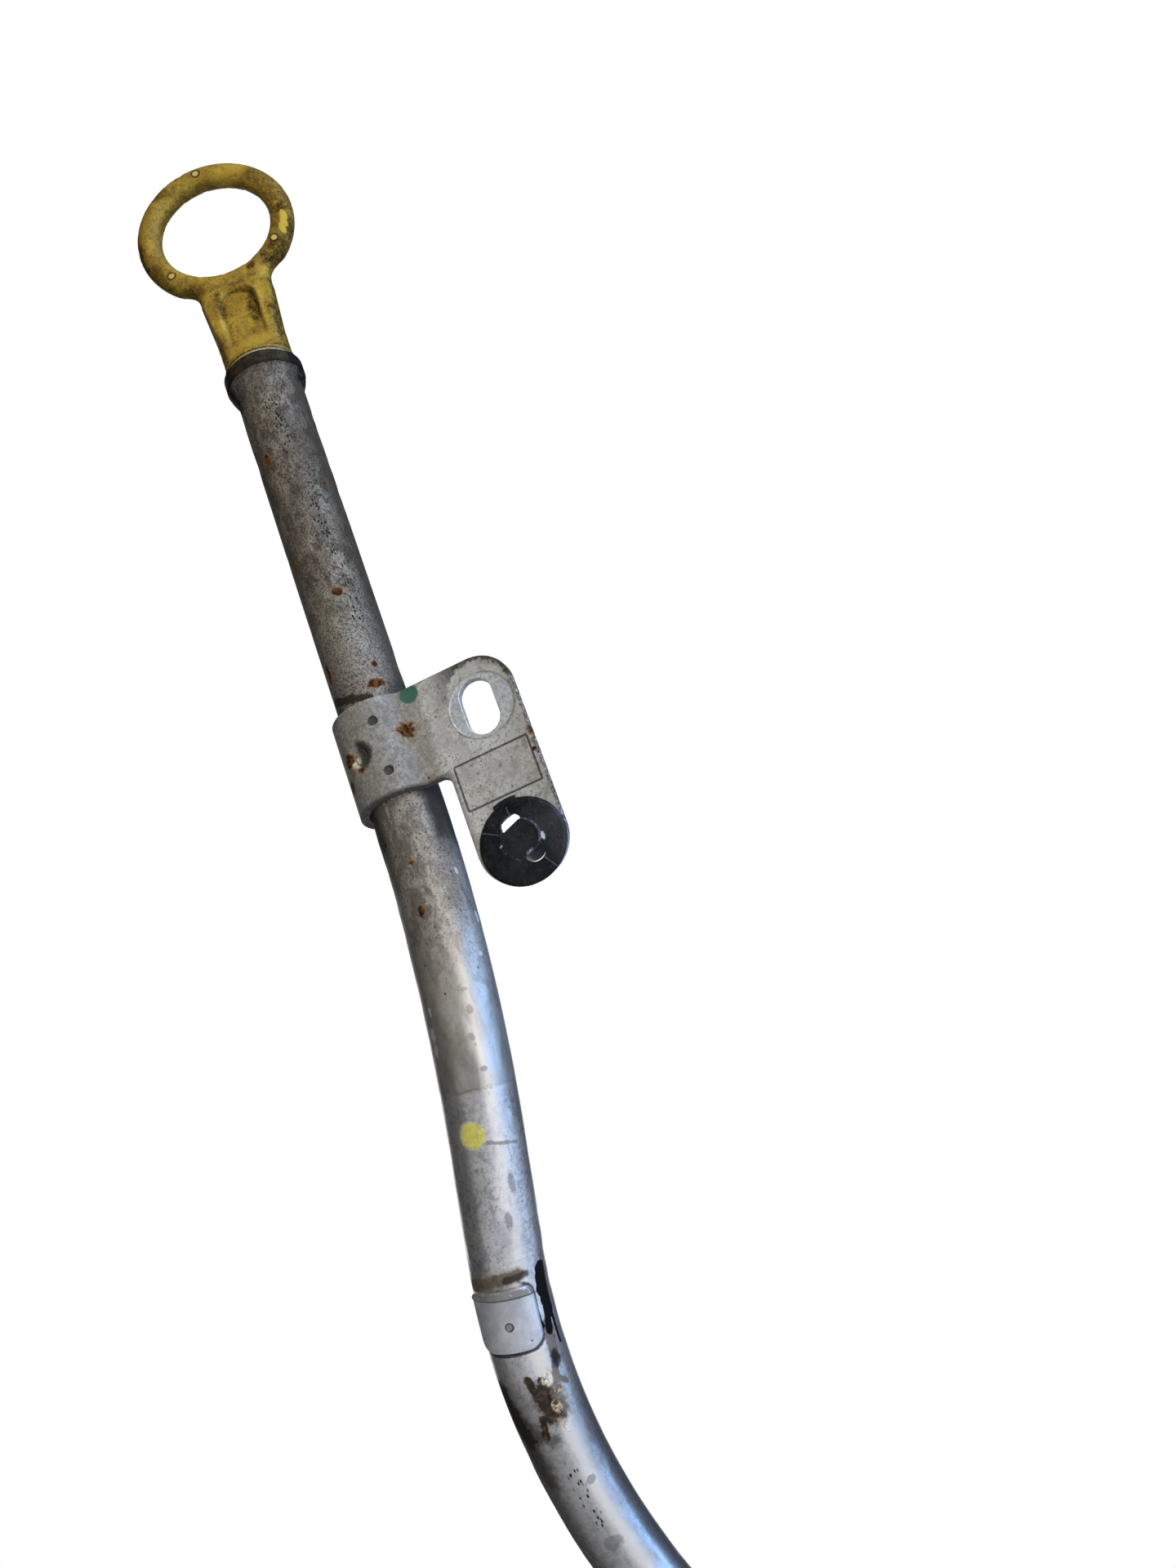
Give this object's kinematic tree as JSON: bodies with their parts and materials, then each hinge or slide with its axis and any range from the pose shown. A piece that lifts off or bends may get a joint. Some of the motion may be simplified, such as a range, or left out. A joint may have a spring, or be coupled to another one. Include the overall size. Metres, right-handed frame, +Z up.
{
  "type": "dipstick",
  "caption": "Engine oil dipstick with an aged yellow ring handle, seated in its bent steel guide tube with a brazed bolt-on bracket and a black push clip",
  "frame": {"origin": "centre of the mark that the bolt's flange pressed round the slot, on the front face of the bracket's plate", "axes": "+Z up along the straight upper part of the guide tube, +X from the tube towards the slot, -Y out of the plate's front face towards the viewer"},
  "size_m": [0.0636, 0.1364, 0.5013],
  "materials": {
    "tube steel": "matte",
    "bracket steel": "worn",
    "yellow plastic": "aged",
    "black plastic": "matte",
    "seal rubber": "matte",
    "spring steel": "satin"
  },
  "bodies": {
    "root": {"guide_tube": "tube steel", "bracket": "bracket steel", "saddle_pad": "tube steel", "push_clip": "black plastic", "foot_seal": "seal rubber", "handle": "yellow plastic", "mouth_seal": "seal rubber", "upper_plug_seal": "seal rubber", "lower_plug_seal": "seal rubber", "rod_ferrule": "spring steel", "gauge_rod": "spring steel", "blade_sleeve": "spring steel", "gauge_blade": "spring steel"}
  },
  "joints": []
}
